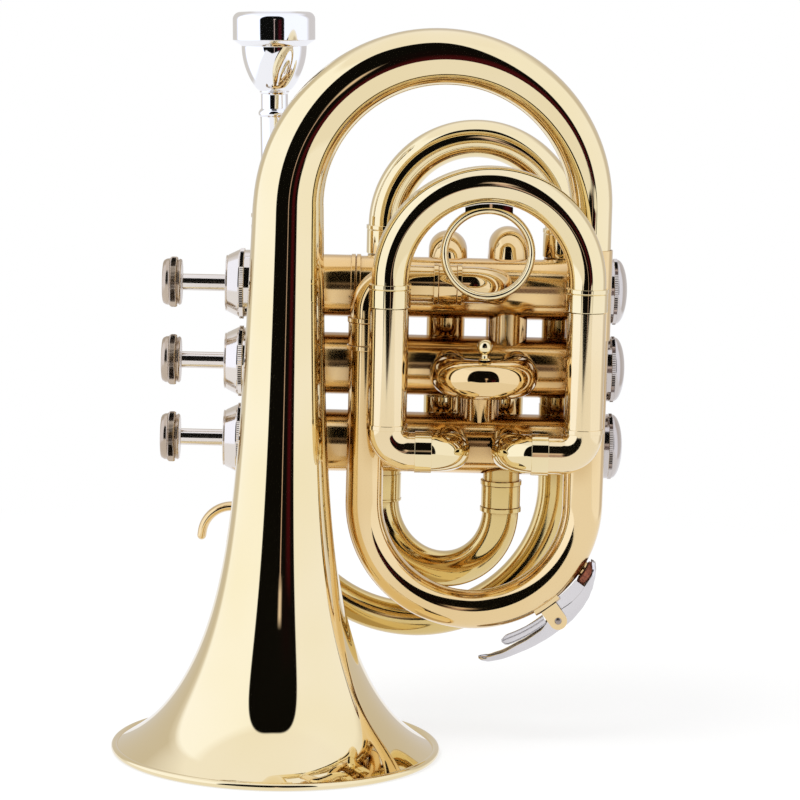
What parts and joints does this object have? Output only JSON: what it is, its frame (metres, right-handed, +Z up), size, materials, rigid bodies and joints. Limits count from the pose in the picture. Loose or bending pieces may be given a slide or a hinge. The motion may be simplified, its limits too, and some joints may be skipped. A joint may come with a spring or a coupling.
{
  "type": "pocket trumpet",
  "caption": "Compact valved brass horn with a flared bell to stand on, coiled tubing, piston valves, pull-out slides, a water key and a removable mouthpiece.",
  "frame": {"origin": "centre of the bounding box's bottom face, level with the bell's rim", "axes": "+Z up the bell's axis, +X along the valves from the finger buttons to the bottom caps, +Y from the third slide back to the leadpipe and mouthpiece"},
  "size_m": [0.164, 0.1116, 0.2363],
  "materials": {
    "lacquered_brass": "lacquered mirror",
    "nickel": "polished nickel",
    "silver": "silver plate",
    "steel": "bare",
    "cork": "dense cork"
  },
  "bodies": {
    "trumpet": {"bell": "lacquered_brass", "bell_sleeve": "lacquered_brass", "bell_branch": "lacquered_brass", "bell_tail_ferrule": "lacquered_brass", "bell_tail_elbow": "lacquered_brass", "bell_port_ferrule": "lacquered_brass", "bell_port_elbow": "lacquered_brass", "valve_casing_1": "lacquered_brass", "valve_casing_2": "lacquered_brass", "valve_casing_3": "lacquered_brass", "valve_guide_1": "lacquered_brass", "valve_guide_2": "lacquered_brass", "valve_guide_3": "lacquered_brass", "crossover_1_2": "lacquered_brass", "crossover_2_3": "lacquered_brass", "mouthpiece_receiver": "lacquered_brass", "leadpipe": "lacquered_brass", "tuning_outer_left": "lacquered_brass", "tuning_outer_right": "lacquered_brass", "entry_bow": "lacquered_brass", "third_port_elbow_left": "lacquered_brass", "third_port_elbow_right": "lacquered_brass", "third_outer_leg_left": "lacquered_brass", "third_outer_leg_right": "lacquered_brass", "second_outer_tube_left": "lacquered_brass", "second_outer_tube_right": "lacquered_brass", "first_outer_leg_left": "lacquered_brass", "first_outer_leg_right": "lacquered_brass", "finger_hook": "lacquered_brass", "water_key_saddle": "lacquered_brass", "bell_brace": "lacquered_brass", "top_cap_1": "nickel", "bottom_cap_1": "nickel", "valve_spring_1": "steel", "top_cap_2": "nickel", "bottom_cap_2": "nickel", "valve_spring_2": "steel", "top_cap_3": "nickel", "bottom_cap_3": "nickel", "valve_spring_3": "steel"},
    "valve_1": {"finger_button_1": "nickel", "valve_stem_1": "nickel", "piston_1": "steel"},
    "valve_2": {"finger_button_2": "nickel", "valve_stem_2": "nickel", "piston_2": "steel"},
    "valve_3": {"finger_button_3": "nickel", "valve_stem_3": "nickel", "piston_3": "steel"},
    "tuning_slide": {"tuning_slide": "lacquered_brass"},
    "first_slide": {"first_slide": "lacquered_brass"},
    "second_slide": {"second_slide": "lacquered_brass", "second_slide_knob": "lacquered_brass"},
    "third_slide": {"third_slide": "lacquered_brass", "third_slide_ring": "lacquered_brass"},
    "water_key": {"water_key_lever": "nickel", "water_key_cork": "cork", "water_key_spring": "steel"},
    "mouthpiece": {"mouthpiece": "silver"}
  },
  "joints": [
    {"name": "valve_1_press", "type": "slide", "parent": "trumpet", "child": "valve_1", "axis": [1, 0, 0], "range_m": [0, 0.014], "stiffness_N_per_m": 150, "springref_m": -0.01, "deforming": ["valve_spring_1"]},
    {"name": "valve_2_press", "type": "slide", "parent": "trumpet", "child": "valve_2", "axis": [1, 0, 0], "range_m": [0, 0.014], "stiffness_N_per_m": 150, "springref_m": -0.01, "deforming": ["valve_spring_2"]},
    {"name": "valve_3_press", "type": "slide", "parent": "trumpet", "child": "valve_3", "axis": [1, 0, 0], "range_m": [0, 0.014], "stiffness_N_per_m": 150, "springref_m": -0.01, "deforming": ["valve_spring_3"]},
    {"name": "tuning_slide_pull", "type": "slide", "parent": "trumpet", "child": "tuning_slide", "axis": [0, 0, 1], "range_m": [0, 0.025]},
    {"name": "first_slide_pull", "type": "slide", "parent": "trumpet", "child": "first_slide", "axis": [0, 0, -1], "range_m": [0, 0.015]},
    {"name": "second_slide_pull", "type": "slide", "parent": "trumpet", "child": "second_slide", "axis": [0, -1, 0], "range_m": [0, 0.007]},
    {"name": "third_slide_pull", "type": "slide", "parent": "trumpet", "child": "third_slide", "axis": [0, 0, 1], "range_m": [0, 0.015]},
    {"name": "water_key_hinge", "type": "hinge", "parent": "trumpet", "child": "water_key", "pos_m": [0.06165, 0.0073, 0.04305], "axis": [0, 1, 0], "range_deg": [0, 10], "stiffness_Nm_per_rad": 0.03, "springref_deg": -20.05},
    {"name": "mouthpiece_draw", "type": "slide", "parent": "trumpet", "child": "mouthpiece", "axis": [-0.0244, 0, 0.9997], "range_m": [0, 0.03]}
  ]
}
